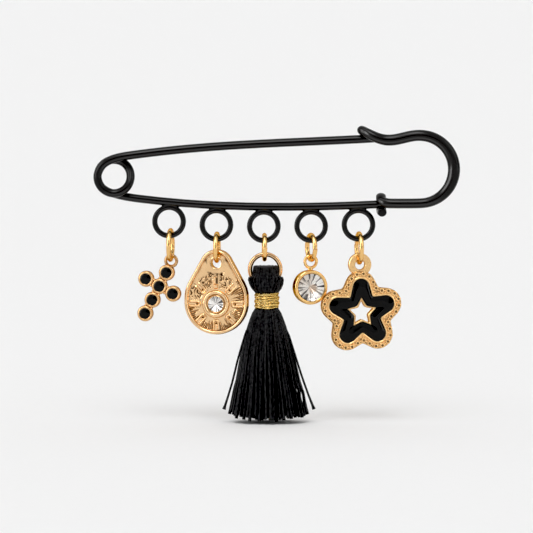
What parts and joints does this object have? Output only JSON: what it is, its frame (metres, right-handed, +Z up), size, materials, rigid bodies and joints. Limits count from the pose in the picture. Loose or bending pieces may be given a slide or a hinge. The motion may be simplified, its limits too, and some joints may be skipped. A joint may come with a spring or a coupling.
{
  "type": "charm brooch",
  "caption": "Kilt-pin brooch in black wire with a spring coil, a hooked head and loops under the bar, hung with cross, teardrop, tassel, crystal and star charms.",
  "frame": {"origin": "on the needle's axis, half way along the stretch of it that runs through the cloth", "axes": "+X along the pin towards its head, +Y towards the wearer, +Z up, and the front of the charms faces -Y"},
  "size_m": [0.0796, 0.0118, 0.0641],
  "materials": {
    "black_coating": "satin black coating on steel wire",
    "yellow_gold": "polished yellow gold plating",
    "peach_gold": "peach gold plating, satin in the hollows",
    "matte_gold": "matte antique gold plating",
    "black_enamel": "glossy black enamel",
    "clear_stone": "clear cut glass",
    "black_thread": "twisted black rayon thread",
    "gold_thread": "metallic gold thread"
  },
  "bodies": {
    "brooch": {"bar": "black_coating", "head": "black_coating", "jump_ring_1": "yellow_gold", "jump_ring_2": "yellow_gold", "jump_ring_3": "yellow_gold", "jump_ring_4": "yellow_gold", "jump_ring_5": "yellow_gold", "cross_frame": "peach_gold", "cross_enamel_1": "black_enamel", "cross_enamel_2": "black_enamel", "cross_enamel_3": "black_enamel", "cross_enamel_4": "black_enamel", "cross_enamel_5": "black_enamel", "cross_enamel_6": "black_enamel", "teardrop_plate": "peach_gold", "teardrop_stone": "clear_stone", "tassel_ring": "peach_gold", "tassel_thread": "black_thread", "tassel_band": "gold_thread", "crystal_bezel": "yellow_gold", "crystal_stone": "clear_stone", "star_frame": "matte_gold", "star_enamel": "black_enamel"},
    "needle": {"needle": "black_coating"}
  },
  "joints": [
    {"name": "needle_press", "type": "hinge", "parent": "brooch", "child": "needle", "pos_m": [-0.0295, 0, -0.007], "axis": [0, 1, 0], "range_deg": [0, 8], "stiffness_Nm_per_rad": 0.3, "springref_deg": -22.92}
  ]
}
